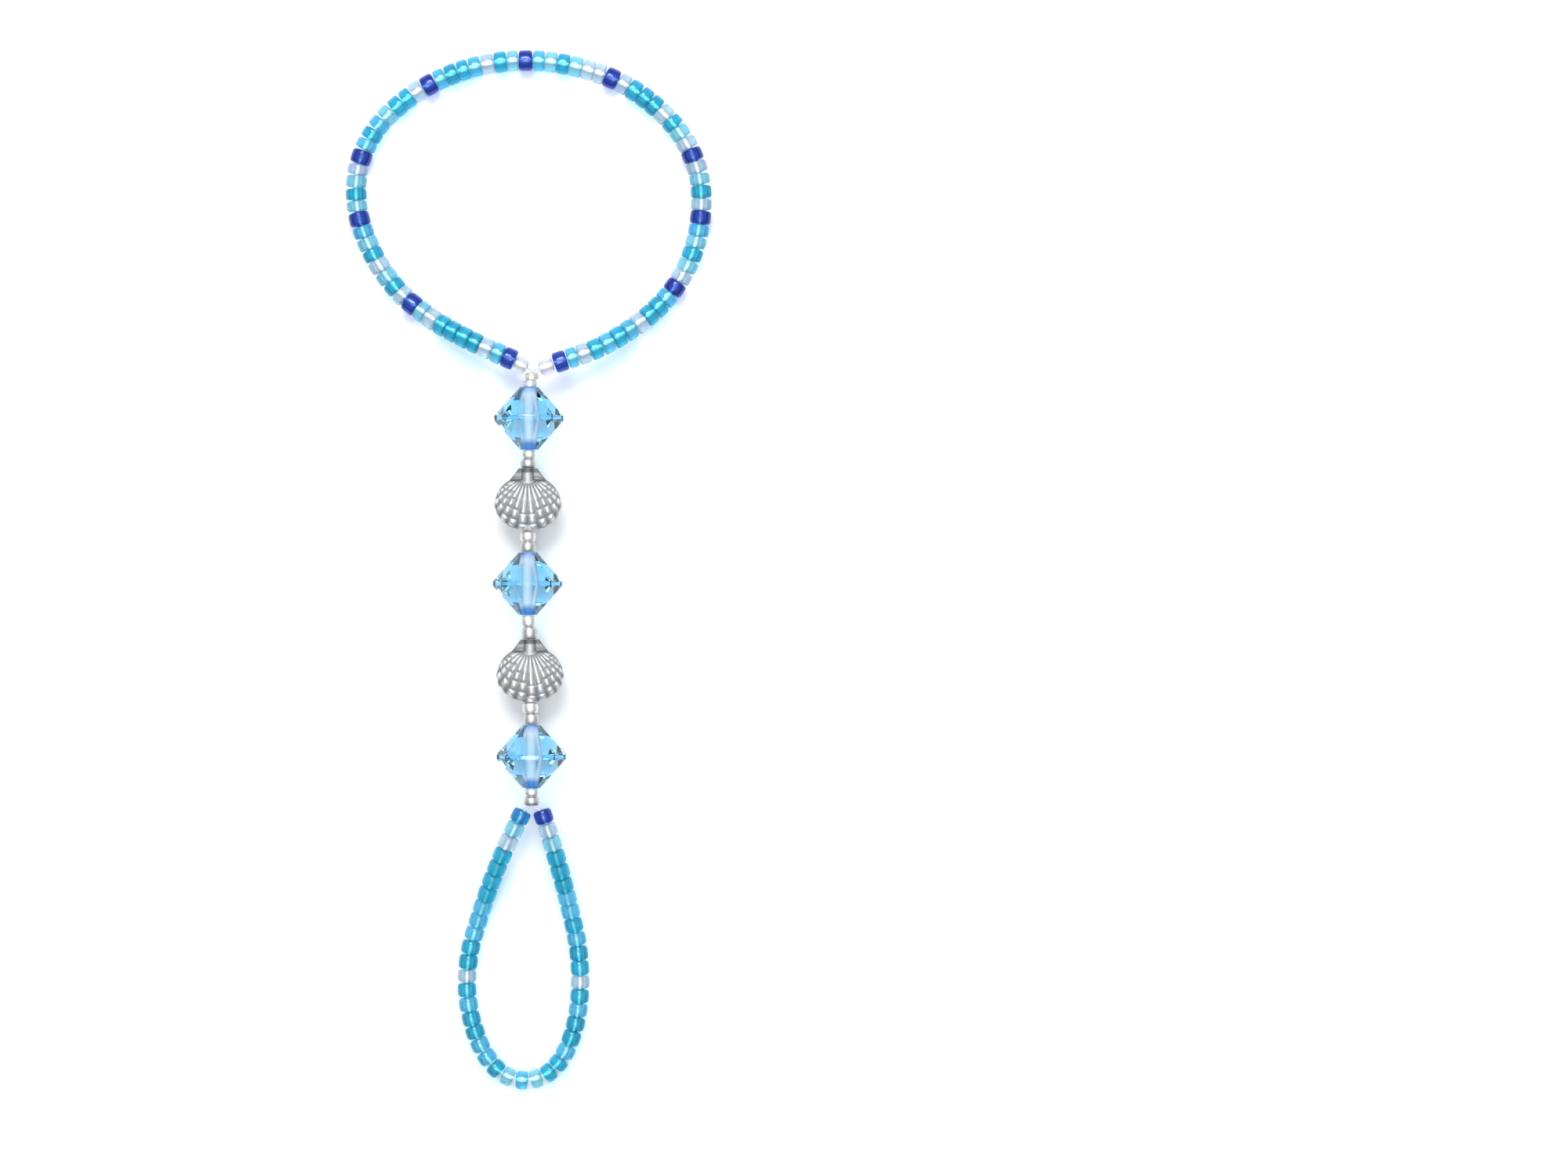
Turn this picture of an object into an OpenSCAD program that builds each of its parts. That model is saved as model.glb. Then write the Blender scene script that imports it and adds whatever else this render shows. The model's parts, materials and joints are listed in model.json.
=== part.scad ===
// Barefoot sandal jewellery: a stretch anklet loop and a toe loop of glass seed beads,
// joined by a centre strand of faceted crystals and scallop shell beads. It lies flat
// on the floor, anklet loop towards +Y, and every bead is strung on one elastic cord.

/* [Anklet loop] */
// Diameter of an anklet bead
anklet_bead_d = 4; // [3.6:0.1:4.2]
// Length of an anklet bead along the cord
anklet_bead_l = 2.1; // [1.7:0.05:2.15]
// How far from the junction the anklet loop reaches the floor
anklet_slope = 28; // [20:1:40]

/* [Toe loop] */
// Diameter of a toe loop bead
toe_bead_d = 3.6; // [3.2:0.1:3.8]
// Length of a toe loop bead along the cord
toe_bead_l = 2.1; // [1.7:0.05:2.15]
// How far from the strand the toe loop reaches the floor
toe_slope = 26; // [18:1:36]

/* [Crystals] */
// Width of a crystal across the flats of its girdle
crystal_d = 13; // [11:0.5:14]
// Length of a crystal along the cord
crystal_l = 11.8; // [11:0.1:11.8]
// Facets round each cone of a crystal
crystal_facets = 12; // [8:2:12]
// Width of the flat table at each end of a crystal
crystal_table_d = 3.4; // [3:0.1:4]
// Height of the girdle band
crystal_girdle = 0.9; // [0.5:0.1:1.5]

/* [Shells] */
// Width of a shell bead
shell_w = 12.7; // [12:0.1:13.5]
// Thickness of a shell bead at its middle
shell_t = 4.8; // [4.4:0.1:5.6]
// Height of a raised rib
rib_h = 0.4; // [0.2:0.05:0.5]
// Ribs over the whole fan
rib_count = 12; // [10:2:14]

/* [Small beads] */
// Diameter of a silver spacer
spacer_d = 3; // [2.8:0.1:3.4]
// Diameter of the two seed beads above the first crystal
seed_d = 2.6; // [2.5:0.1:3]
// Diameter of a junction bead
junction_d = 3.5; // [3:0.1:3.6]
// Clear gap at each end of a junction bead
junction_gap = 0.3; // [0.25:0.05:0.4]

/* [Cord] */
// Diameter of the elastic cord
cord_d = 0.6; // [0.4:0.1:0.6]
// Bore of the beads that hold one run of cord
loop_bore_d = 1.4; // [1.3:0.1:1.5]
// Bore of the beads that hold two runs of cord
strand_bore_d = 2; // [1.9:0.1:2]
// Clear gap between neighbours on the strand
bead_gap = 0.1; // [0.1:0.05:0.15]

/* [Hidden] */
$fn = 48;

// Bead charts, a letter for each bead and a row for each repeat
// N cobalt, T turquoise, S sky, A pale aqua, C clear, P capri
anklet_chart = str(
    "NSCTTTTCA", "NCTACTAS", "NATAC", "NSTSATTC", "NSTTSCTA", "NSATACC",
    "NCTTTCTAC", "NCATC", "NSATAC", "NSTTCSTSTCS", "N");
toe_chart = str(
    "PACTTTTSSSTTCTST", "TSSTASATTSTTS", "TCTTSTSSTTTACN");
glass = [
    ["N", [0.05, 0.08, 0.55]], ["T", [0.05, 0.62, 0.75]], ["S", [0.50, 0.80, 0.95]],
    ["A", [0.72, 0.90, 0.94]], ["C", [0.93, 0.94, 0.97]], ["P", [0.05, 0.42, 0.75]]
];

// Centre line of each loop, from its left end round to its right end
anklet_points = [
    [-3.4, 39.8], [-10.6, 43.1], [-17.9, 47.2], [-24.5, 52.6], [-29.4, 59.6],
    [-32.3, 67.6], [-32.3, 75.8], [-29.2, 83], [-23.4, 88.9], [-16, 93.2], [-8, 95.7],
    [0.4, 96.4], [8.6, 95.3], [16.6, 92.6], [23.5, 88.1], [29, 82.1], [32.2, 74.7],
    [32.5, 66.6], [30.5, 58.6], [26.3, 51.7], [20.4, 46.2], [13.4, 41.9], [6.1, 39.2]
];
toe_points = [
    [-1.3, -46.4], [-4, -52], [-6.7, -58.3], [-9.2, -65.3], [-11.2, -72.4], [-11.7, -79.4],
    [-10.6, -86], [-8.3, -91.6], [-5, -95.3], [-0.9, -96.6], [3.2, -95.5], [6.5, -92],
    [8.8, -86], [9.7, -79], [9.3, -71.5], [7.9, -64.5], [6.3, -57.7], [4.6, -51.5],
    [3, -46.4]
];

// Centre strand from its top end down: what each bead is and how long it is
KIND = 0;
LENGTH = 1;
strand = [
    ["seed", 1.2], ["seed", 1.2],
    ["crystal", crystal_l], ["spacer", 1.6], ["spacer", 1.6],
    ["shell", 11.8], ["spacer", 1.85], ["spacer", 1.85],
    ["crystal", crystal_l], ["spacer", 2.15], ["spacer", 2.15],
    ["shell", 11.8], ["spacer", 2], ["spacer", 2],
    ["crystal", crystal_l], ["spacer", 1.55], ["spacer", 1.55]
];
strand_top = 37;
strand_z = crystal_d / 2;
// Sideways sway of the strand, by height along it from the toe loop up: it runs
// straight through each large bead and bends between them
sway = [
    [-44.5, 0.8], [-29, 0.8], [-25.2, 0.5], [-13, 0.5], [-8.6, 0.1], [19.2, 0.1],
    [22.6, 0.35], [34.4, 0.35], [37.3, 1]
];
run_offset = 0.36;
toe_split = [sway[0][1], sway[0][0], strand_z];
junction_split = [sway[len(sway) - 1][1], sway[len(sway) - 1][0], strand_z];
junction_drop = 0.2;

// Shape of the small round beads: bulge radius over half their length
anklet_bulge = 1.15;
toe_bulge = 1.1;
silver_bulge = 1.35;
junction_bulge = 1.1;

// Shell outline: an ellipse below a hinge plate, centred on the bead's own middle
shell_l = 11.8;
disc_y = -0.85;
disc_b = shell_l / 2 + disc_y;
hinge_y = 3.4;
hinge_w = 6.8;
hinge_top_w = 3.4;
hinge_t = 2;
hinge_lap = 0.3;
fan_angle = 120;
fan_bow = 1.2;
fan_root_w = 3;
rim_t = 1.1;
tube_d = strand_bore_d + 0.9;
hinge_tube_d = tube_d - 0.1;
rib_steps = 4;
// Rows of the fan: share of the way to the rim, height of the outer and the middle ribs
AT = 0;
OUTER = 1;
MIDDLE = 2;
fan_rows = [
    [0, 0, 0], [0.18, 0.7, 0.8], [0.44, 1, 1], [0.52, 0.3, 1], [0.6, 1, 1],
    [0.68, 1, 0.4], [0.76, 0.3, 1], [0.83, 1, 1], [0.88, 0.5, 0.3], [1, 0.7, 0.7]
];

// Smooth line through a list of points, cut into short pieces
function line_point(p, i, u) =
    let (a = p[max(i - 1, 0)], b = p[i], c = p[i + 1], d = p[min(i + 2, len(p) - 1)])
    (2 * b + (c - a) * u + (2 * a - 5 * b + 4 * c - d) * u * u
        + (3 * b - a - 3 * c + d) * u * u * u) / 2;
function smooth(p, cuts = 6) = [
    for (i = [0 : len(p) - 2]) for (k = [0 : cuts - 1]) line_point(p, i, k / cuts),
    p[len(p) - 1]
];
function distances(p) = [
    for (i = 0, s = 0; i < len(p);
        i = i + 1, s = s + (i < len(p) ? norm(p[i] - p[i - 1]) : 0)) s
];

// A loop holds its length, its x and y by distance, its floor height and its slope
function loop(points, floor_z, slope) =
    let (p = smooth(points), s = distances(p), n = len(p) - 1)
    [s[n], [for (k = [0 : n]) [s[k], p[k].x]], [for (k = [0 : n]) [s[k], p[k].y]],
        floor_z, slope];
function rise(r, s) =
    let (e = min(s, r[0] - s))
    e >= r[4] ? 0 : (1 + cos(180 * max(e, 0) / r[4])) / 2;
function place(r, s) = [
    lookup(s, r[1]), lookup(s, r[2]),
    r[3] + (strand_z - junction_drop - r[3]) * rise(r, s)
];
function heading(r, s) = place(r, min(s + 0.4, r[0])) - place(r, max(s - 0.4, 0));
function unit(v) = v / norm(v);
function stops(r, n) = [for (k = [0 : n]) r[0] * k / n];

anklet = loop(anklet_points, anklet_bead_d / 2, anklet_slope);
toe = loop(toe_points, toe_bead_d / 2, toe_slope);
anklet_left = place(anklet, 0);
anklet_right = place(anklet, anklet[0]);

// Where the strand's beads are
function strand_y(i) =
    i == 0 ? strand_top - strand[0][LENGTH] / 2
    : strand_y(i - 1) - (strand[i - 1][LENGTH] + strand[i][LENGTH]) / 2 - bead_gap;
function strand_place(i) = [lookup(strand_y(i), sway), strand_y(i), strand_z];
function of_kind(kind) = [for (i = [0 : len(strand) - 1]) if (strand[i][KIND] == kind) i];
function colour_of(letter) = glass[search(letter, glass)[0]][1];

// Stands a child that was made along Z at a place, with its axis along a direction
module aim(at, along) {
    translate(at)
        rotate([0, acos(along.z / norm(along)), atan2(along.y, along.x)])
            children();
}

// A round bead with flat ends and a straight bore, along Z
module round_bead(d, l, bore, bulge) {
    rotate_extrude()
        intersection() {
            translate([d / 2 - bulge * l / 2, 0]) circle(r = bulge * l / 2);
            translate([bore / 2, -l / 2]) square([d / 2, l]);
        }
}

module string_of_beads(r, chart, d, l, bulge) {
    for (i = [0 : len(chart) - 1]) {
        s = r[0] * i / (len(chart) - 1);
        color(colour_of(chart[i]))
            aim(place(r, s), heading(r, s))
                round_bead(d, l, loop_bore_d, bulge);
    }
}

module anklet_beads() {
    string_of_beads(anklet, anklet_chart, anklet_bead_d, anklet_bead_l, anklet_bulge);
}

module toe_beads() {
    string_of_beads(toe, toe_chart, toe_bead_d, toe_bead_l, toe_bulge);
}

// The oval bead halfway from the split of the cord to the first bead of the loop,
// which stays as far from the split as it does from that bead's own middle
module junction_bead(first) {
    length = norm(first - junction_split) - anklet_bead_l - 2 * junction_gap;
    color([0.90, 0.91, 0.94])
        aim((junction_split + first) / 2, first - junction_split)
            round_bead(junction_d, length, loop_bore_d, junction_bulge);
}

module seed(i) {
    color(i == 0 ? [0.95, 0.93, 0.82] : [0.86, 0.90, 0.92])
        aim(strand_place(i), [0, 1, 0])
            round_bead(seed_d, strand[i][LENGTH], strand_bore_d, silver_bulge);
}

module spacer(n) {
    i = of_kind("spacer")[n];
    color([0.82, 0.82, 0.84])
        aim(strand_place(i), [0, 1, 0])
            round_bead(spacer_d, strand[i][LENGTH], strand_bore_d, silver_bulge);
}

// A bicone with a flat facet below, so that it rests on its girdle
module crystal(n) {
    half = crystal_l / 2;
    corner = 1 / cos(180 / crystal_facets);
    color([0.45, 0.78, 0.93, 0.6])
        aim(strand_place(of_kind("crystal")[n]), [0, 1, 0])
            difference() {
                rotate(180 / crystal_facets)
                    rotate_extrude($fn = crystal_facets)
                        polygon([
                            [0, -half],
                            [crystal_table_d / 2 * corner, -half],
                            [crystal_d / 2 * corner, -crystal_girdle / 2],
                            [crystal_d / 2 * corner, crystal_girdle / 2],
                            [crystal_table_d / 2 * corner, half],
                            [0, half]
                        ]);
                cylinder(d = strand_bore_d, h = crystal_l + 1, center = true);
            }
}

// A point of the fan: t goes across it from -1 to 1, and v from the hinge to the rim. The
// ribs spring from the narrow root, and only the smooth ears reach the ends of the hinge
function fan_root(t) = t * (fan_root_w + (hinge_w - fan_root_w) * pow(t, 6)) / 2;
function fan_point(t, v) =
    let (hinge = [fan_root(t), hinge_y + hinge_lap],
        rim = [shell_w / 2 * sin(t * fan_angle), disc_y - disc_b * cos(t * fan_angle)])
    hinge + (rim - hinge) * v + [fan_bow * t * v * (1 - v), 0];
function dome(p) =
    let (r = norm([p.x / (shell_w / 2), (p.y - disc_y) / disc_b]))
    rim_t / 2 + (shell_t / 2 - rib_h - rim_t / 2) * pow(max(0, 1 - pow(r, 2.5)), 0.7);
function rib(t) = sqrt((1 - cos(180 * (t + 1) * rib_count)) / 2);
function tube(x) = sqrt(max(0, pow(tube_d / 2, 2) - x * x));
function ear(t) = 1 - pow(t, 8);
function relief(t, row) =
    rib(t) * ear(t) * rib_h * (abs(t) < 2 / rib_count ? row[MIDDLE] : row[OUTER]);
function shell_point(t, row, side) =
    let (p = fan_point(t, row[AT]))
    [p.x, p.y, side * max(dome(p) + relief(t, row), tube(p.x))];

// Two triangles of a grid cell, named by its corners
function cell(a, b, c, d) = [[a, b, c], [a, c, d]];

module shell_fan() {
    n = rib_count * rib_steps;
    m = len(fan_rows) - 1;
    back = (n + 1) * (m + 1);
    points = [
        for (side = [1, -1]) for (row = fan_rows) for (i = [0 : n])
            shell_point(2 * i / n - 1, row, side)
    ];
    front = [
        for (j = [0 : m - 1]) for (i = [0 : n - 1])
            let (a = j * (n + 1) + i)
            each cell(a, a + 1, a + n + 2, a + n + 1)
    ];
    rear = [for (f = front) [f[2] + back, f[1] + back, f[0] + back]];
    across = [
        for (i = [0 : n - 1]) each concat(
            cell(i + 1, i, i + back, i + 1 + back),
            cell(m * (n + 1) + i, m * (n + 1) + i + 1,
                m * (n + 1) + i + 1 + back, m * (n + 1) + i + back))
    ];
    along = [
        for (j = [0 : m - 1])
            let (a = j * (n + 1), b = a + n)
            each concat(
                cell(a, a + n + 1, a + n + 1 + back, a + back),
                cell(b + n + 1, b, b + back, b + n + 1 + back))
    ];
    polyhedron(points, concat(front, rear, across, along));
}

// The hinge is a thin plate with the tube for the cord raised along its middle
module shell_hinge() {
    top = shell_l / 2;
    translate([0, 0, -hinge_t / 2])
        linear_extrude(hinge_t)
            polygon([
                [-hinge_w / 2, hinge_y], [hinge_w / 2, hinge_y],
                [hinge_top_w / 2, top], [-hinge_top_w / 2, top]
            ]);
    translate([0, top, 0]) rotate([90, 0, 0]) cylinder(d = hinge_tube_d, h = top - hinge_y);
}

module shell(n) {
    color([0.66, 0.67, 0.68])
        translate(strand_place(of_kind("shell")[n]))
            difference() {
                union() {
                    shell_fan();
                    shell_hinge();
                }
                rotate([90, 0, 0]) cylinder(d = strand_bore_d, h = shell_l + 1, center = true);
            }
}

// The cord's route: toe loop, right run up, anklet loop from its right end, left run down
run_up = [for (bend = sway) [bend[1] + run_offset, bend[0], strand_z]];
run_down = [for (k = [len(sway) - 1 : -1 : 0]) [sway[k][1] - run_offset, sway[k][0], strand_z]];
function lead_in(r, from, to) =
    let (start = place(r, from), on = place(r, to))
    start + unit(start - on) * (toe_bead_l / 2 + bead_gap);
toe_stops = 32;
anklet_stops = 30;
cord_route = concat(
    [lead_in(toe, 0, 1)],
    [for (s = stops(toe, toe_stops)) place(toe, s)],
    [lead_in(toe, toe[0], toe[0] - 1)],
    run_up,
    [(junction_split + anklet_right) / 2],
    [for (s = stops(anklet, anklet_stops)) place(anklet, anklet[0] - s)],
    [(junction_split + anklet_left) / 2],
    run_down
);
cord_sides = 8;

function ring(i) =
    let (n = len(cord_route),
        along = unit(cord_route[(i + 1) % n] - cord_route[(i + n - 1) % n]),
        across = unit(cross(along, [0, 0, 1])),
        up = cross(across, along))
    [for (k = [0 : cord_sides - 1])
        cord_route[i] + cord_d / 2 * (cos(360 * k / cord_sides) * across
            + sin(360 * k / cord_sides) * up)];

module elastic_cord() {
    n = len(cord_route);
    points = [for (i = [0 : n - 1]) each ring(i)];
    faces = [
        for (i = [0 : n - 1]) for (k = [0 : cord_sides - 1])
            let (a = i * cord_sides, b = (i + 1) % n * cord_sides, m = (k + 1) % cord_sides)
            each cell(a + k, a + m, b + m, b + k)
    ];
    color([0.92, 0.93, 0.93, 0.5]) polyhedron(points, faces);
}

elastic_cord();
anklet_beads();
toe_beads();
junction_bead(anklet_left);  // junction_bead_left
junction_bead(anklet_right);  // junction_bead_right
for (n = [0 : 1]) seed(n);
for (n = [0 : 2]) crystal(n);
for (n = [0 : 1]) shell(n);
for (n = [0 : 9]) spacer(n);
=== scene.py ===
"""Barefoot sandal jewellery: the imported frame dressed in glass, silver and elastic.

Sizes are in millimetres until a mesh is made, and the mesh is in metres.
"""

import bisect
import json
import math
import random

import bmesh
import bpy
from mathutils import Matrix, Vector
from mathutils.kdtree import KDTree

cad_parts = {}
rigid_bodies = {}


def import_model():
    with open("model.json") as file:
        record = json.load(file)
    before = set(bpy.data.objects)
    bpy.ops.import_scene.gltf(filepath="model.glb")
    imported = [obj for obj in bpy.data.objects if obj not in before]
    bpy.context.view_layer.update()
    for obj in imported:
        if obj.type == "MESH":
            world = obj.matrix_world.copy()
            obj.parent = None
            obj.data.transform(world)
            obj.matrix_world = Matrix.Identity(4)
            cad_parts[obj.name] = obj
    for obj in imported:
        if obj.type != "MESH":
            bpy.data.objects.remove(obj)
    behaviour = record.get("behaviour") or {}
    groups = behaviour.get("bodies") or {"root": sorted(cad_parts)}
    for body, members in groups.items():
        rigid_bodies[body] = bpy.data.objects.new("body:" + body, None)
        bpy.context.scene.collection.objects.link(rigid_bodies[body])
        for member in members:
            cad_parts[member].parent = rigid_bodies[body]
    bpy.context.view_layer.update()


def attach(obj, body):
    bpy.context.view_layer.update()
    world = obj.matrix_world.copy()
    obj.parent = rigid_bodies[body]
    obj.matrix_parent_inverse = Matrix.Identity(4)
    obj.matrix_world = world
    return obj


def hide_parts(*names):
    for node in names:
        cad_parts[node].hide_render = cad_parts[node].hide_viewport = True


MM = 0.001
TURN = 2 * math.pi

for thing in list(bpy.data.objects):
    bpy.data.objects.remove(thing)
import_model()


# Camera, floor and light

PIXELS_PER_MM = 6.75
FRAME_PIXELS = (2000, 1500)
# Where the frame's own origin lies in the photograph
ORIGIN_PIXEL = (674, 727)
LENS_MM = 100
STRAND_Z = 6.5


def make_camera():
    """Straight above the middle of the photograph, so the sandal lies left of the middle."""
    camera = bpy.data.cameras.new("camera")
    camera.lens = LENS_MM
    width = FRAME_PIXELS[0] / PIXELS_PER_MM
    x = (FRAME_PIXELS[0] / 2 - ORIGIN_PIXEL[0]) / PIXELS_PER_MM
    y = (ORIGIN_PIXEL[1] - FRAME_PIXELS[1] / 2) / PIXELS_PER_MM
    height = width * camera.lens / camera.sensor_width + STRAND_Z / 2
    thing = bpy.data.objects.new("camera", camera)
    thing.location = Vector((x, y, height)) * MM
    camera.clip_start = 0.01
    camera.clip_end = 100
    bpy.context.scene.collection.objects.link(thing)
    bpy.context.scene.camera = thing


def make_light(name, place, aim, size, power, colour):
    """A soft square lamp at a place, turned to face another."""
    lamp = bpy.data.lights.new(name, "AREA")
    lamp.shape = "RECTANGLE"
    lamp.size, lamp.size_y = size
    lamp.energy = power
    lamp.color = colour
    thing = bpy.data.objects.new(name, lamp)
    thing.location = place
    thing.rotation_euler = (Vector(aim) - Vector(place)).to_track_quat("-Z", "Y").to_euler()
    bpy.context.scene.collection.objects.link(thing)


def make_floor():
    bm = bmesh.new()
    bmesh.ops.create_grid(bm, x_segments=2, y_segments=2, size=3)
    floor = piece_from(bm, "floor")
    material, _, paper = new_material("floor_paper")
    paper.inputs["Base Color"].default_value = (0.93, 0.935, 0.94, 1)
    paper.inputs["Roughness"].default_value = 0.85
    paper.inputs["Specular IOR Level"].default_value = 0.2
    floor.data.materials.append(material)


def make_world():
    """A pale room, light overhead and dim along the floor, lighter beyond the anklet."""
    world = bpy.data.worlds.new("studio")
    bpy.context.scene.world = world
    world.use_nodes = True
    tree = world.node_tree
    coords = tree.nodes.new("ShaderNodeTexCoord")
    split = tree.nodes.new("ShaderNodeSeparateXYZ")
    tree.links.new(coords.outputs["Generated"], split.inputs[0])
    lean = math_node(tree, "MULTIPLY", split.outputs["Y"], 0.28)
    height = math_node(tree, "ADD", split.outputs["Z"], lean)
    ramp = tree.nodes.new("ShaderNodeValToRGB")
    ramp.color_ramp.elements[0].position = 0.02
    ramp.color_ramp.elements[0].color = (0.11, 0.12, 0.13, 1)
    ramp.color_ramp.elements[1].position = 0.85
    ramp.color_ramp.elements[1].color = (0.60, 0.62, 0.64, 1)
    tree.links.new(height, ramp.inputs["Fac"])
    tree.links.new(ramp.outputs["Color"], tree.nodes["Background"].inputs["Color"])


# Materials

def new_material(name):
    """A material, its node tree and the shader in it."""
    material = bpy.data.materials.new(name)
    material.use_nodes = True
    tree = material.node_tree
    return material, tree, tree.nodes["Principled BSDF"]


def new_group(name, inputs, outputs):
    """A shader node group with named sockets, and its inside ends."""
    tree = bpy.data.node_groups.new(name, "ShaderNodeTree")
    kinds = {"colour": "NodeSocketColor", "number": "NodeSocketFloat"}
    for label, kind, start in inputs:
        socket = tree.interface.new_socket(label, in_out="INPUT", socket_type=kinds[kind])
        socket.default_value = start
    for label, kind in outputs:
        tree.interface.new_socket(label, in_out="OUTPUT", socket_type=kinds[kind])
    return tree, tree.nodes.new("NodeGroupInput"), tree.nodes.new("NodeGroupOutput")


def noise(tree, scale, detail=2.0):
    """Noise on the object's own coordinates. The scale is in waves a metre."""
    coords = tree.nodes.new("ShaderNodeTexCoord")
    texture = tree.nodes.new("ShaderNodeTexNoise")
    texture.inputs["Scale"].default_value = scale
    texture.inputs["Detail"].default_value = detail
    tree.links.new(coords.outputs["Object"], texture.inputs["Vector"])
    return texture.outputs["Fac"]


def math_node(tree, operation, first, second):
    node = tree.nodes.new("ShaderNodeMath")
    node.operation = operation
    for socket, value in zip(node.inputs, (first, second)):
        if isinstance(value, (int, float)):
            socket.default_value = value
        else:
            tree.links.new(value, socket)
    return node.outputs[0]


def mixed(tree, factor, first, second):
    """A colour mix; each of the three is a socket or a plain value."""
    node = tree.nodes.new("ShaderNodeMix")
    node.data_type = "RGBA"
    for socket, value in zip((node.inputs[0], node.inputs[6], node.inputs[7]), (factor, first, second)):
        if isinstance(value, (int, float, tuple)):
            socket.default_value = value
        else:
            tree.links.new(value, socket)
    return node.outputs[2]


# How much of the deep colour a bead's own tone and its painted shade towards its ends bring in, and how
# much the clouds in it do
BEAD_SHARE = 0.5
CLOUD_SHARE = 0.3


def make_glass_tone():
    """Group: glass colour that differs a little from bead to bead and within each bead, with painted
    shade towards each bead's two ends.
    """
    tree, start, end = new_group(
        "glass_tone",
        [("Colour", "colour", (1, 1, 1, 1)), ("Deep colour", "colour", (0, 0, 0, 1))],
        [("Colour", "colour"), ("Roughness", "number")],
    )
    tone = tree.nodes.new("ShaderNodeAttribute")
    tone.attribute_name = "tone"
    cloud = noise(tree, 420)
    by_bead = math_node(tree, "MULTIPLY", tone.outputs["Fac"], BEAD_SHARE)
    by_cloud = math_node(tree, "MULTIPLY", cloud, CLOUD_SHARE)
    share = math_node(tree, "ADD", by_bead, by_cloud)
    colour = mixed(tree, share, start.outputs["Colour"], start.outputs["Deep colour"])
    rough = math_node(tree, "MULTIPLY", cloud, 0.12)
    tree.links.new(colour, end.inputs["Colour"])
    tree.links.new(rough, end.inputs["Roughness"])
    return tree


def let_lamps_through(material, shader, colour):
    """Rays on their way to a lamp pass the glass, which only colours them."""
    tree = material.node_tree
    path = tree.nodes.new("ShaderNodeLightPath")
    clear = tree.nodes.new("ShaderNodeBsdfTransparent")
    clear.inputs["Color"].default_value = colour
    mix = tree.nodes.new("ShaderNodeMixShader")
    tree.links.new(path.outputs["Is Shadow Ray"], mix.inputs["Fac"])
    tree.links.new(shader.outputs[0], mix.inputs[1])
    tree.links.new(clear.outputs[0], mix.inputs[2])
    tree.links.new(mix.outputs[0], tree.nodes["Material Output"].inputs["Surface"])


def bead_glass(name, colour, deep, shade):
    """Tinted glass for seed beads, with the slightly uneven skin of tumbled glass."""
    material, tree, glass = new_material(name)
    glass.inputs["Transmission Weight"].default_value = 0.68
    glass.inputs["IOR"].default_value = 1.5
    tone = tree.nodes.new("ShaderNodeGroup")
    tone.node_tree = GLASS_TONE
    tone.inputs["Colour"].default_value = (*colour, 1)
    tone.inputs["Deep colour"].default_value = (*deep, 1)
    tree.links.new(tone.outputs["Colour"], glass.inputs["Base Color"])
    tree.links.new(tone.outputs["Roughness"], glass.inputs["Roughness"])
    bump = tree.nodes.new("ShaderNodeBump")
    bump.inputs["Strength"].default_value = 0.12
    bump.inputs["Distance"].default_value = 0.00008
    tree.links.new(noise(tree, 900), bump.inputs["Height"])
    tree.links.new(bump.outputs["Normal"], glass.inputs["Normal"])
    let_lamps_through(material, glass, (*shade, 1))
    return material


def lining(name, colour, roughness):
    """The metal film on the wall of a bead's hole."""
    material, tree, metal = new_material(name)
    metal.inputs["Metallic"].default_value = 1
    streak = noise(tree, 1500)
    tree.links.new(mixed(tree, streak, (*colour, 1), tuple(c * 0.8 for c in colour) + (1,)),
              metal.inputs["Base Color"])
    metal.inputs["Roughness"].default_value = roughness
    return material


def crystal_glass():
    """Light blue glass, cut and polished, deeper where the light goes further through it."""
    material, tree, glass = new_material("crystal_glass")
    glass.inputs["Transmission Weight"].default_value = 1
    glass.inputs["IOR"].default_value = 1.54
    glass.inputs["Roughness"].default_value = 0
    tree.links.new(mixed(tree, noise(tree, 160), (0.80, 0.93, 0.97, 1), (0.90, 0.97, 1.0, 1)),
              glass.inputs["Base Color"])
    depth = tree.nodes.new("ShaderNodeVolumeAbsorption")
    depth.inputs["Color"].default_value = (0.36, 0.70, 0.83, 1)
    depth.inputs["Density"].default_value = 130
    tree.links.new(depth.outputs[0], tree.nodes["Material Output"].inputs["Volume"])
    let_lamps_through(material, glass, (0.94, 0.97, 1.0, 1))
    return material


def drilled_glass():
    """The ground wall of a crystal's hole: pale through the facets, and bluer near its ends, where the
    blue is painted shade.
    """
    material, tree, wall = new_material("drilled_glass")
    grain = noise(tree, 2200, 3)
    middle = tree.nodes.new("ShaderNodeAttribute")
    middle.attribute_name = "middle"
    pale = mixed(tree, grain, (1.0, 0.91, 0.95, 1), (0.84, 0.80, 0.90, 1))
    # Painted shade: deep blue laid on the wall towards the hole's ends
    blue = (0.03, 0.22, 0.62, 1)
    tree.links.new(mixed(tree, middle.outputs["Fac"], blue, pale), wall.inputs["Base Color"])
    tree.links.new(math_node(tree, "MULTIPLY", grain, 0.9), wall.inputs["Roughness"])
    let_lamps_through(material, wall, (0.9, 0.93, 1.0, 1))
    return material


def silver(name, colour, roughness):
    """Polished silver with fine handling marks."""
    material, tree, metal = new_material(name)
    metal.inputs["Metallic"].default_value = 1
    marks = noise(tree, 2600, 4)
    tree.links.new(mixed(tree, marks, (*colour, 1), tuple(c * 0.86 for c in colour) + (1,)),
              metal.inputs["Base Color"])
    tree.links.new(math_node(tree, "MULTIPLY", marks, roughness * 2), metal.inputs["Roughness"])
    bump = tree.nodes.new("ShaderNodeBump")
    bump.inputs["Strength"].default_value = 0.15
    bump.inputs["Distance"].default_value = 0.00003
    tree.links.new(marks, bump.inputs["Height"])
    tree.links.new(bump.outputs["Normal"], metal.inputs["Normal"])
    return material


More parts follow.
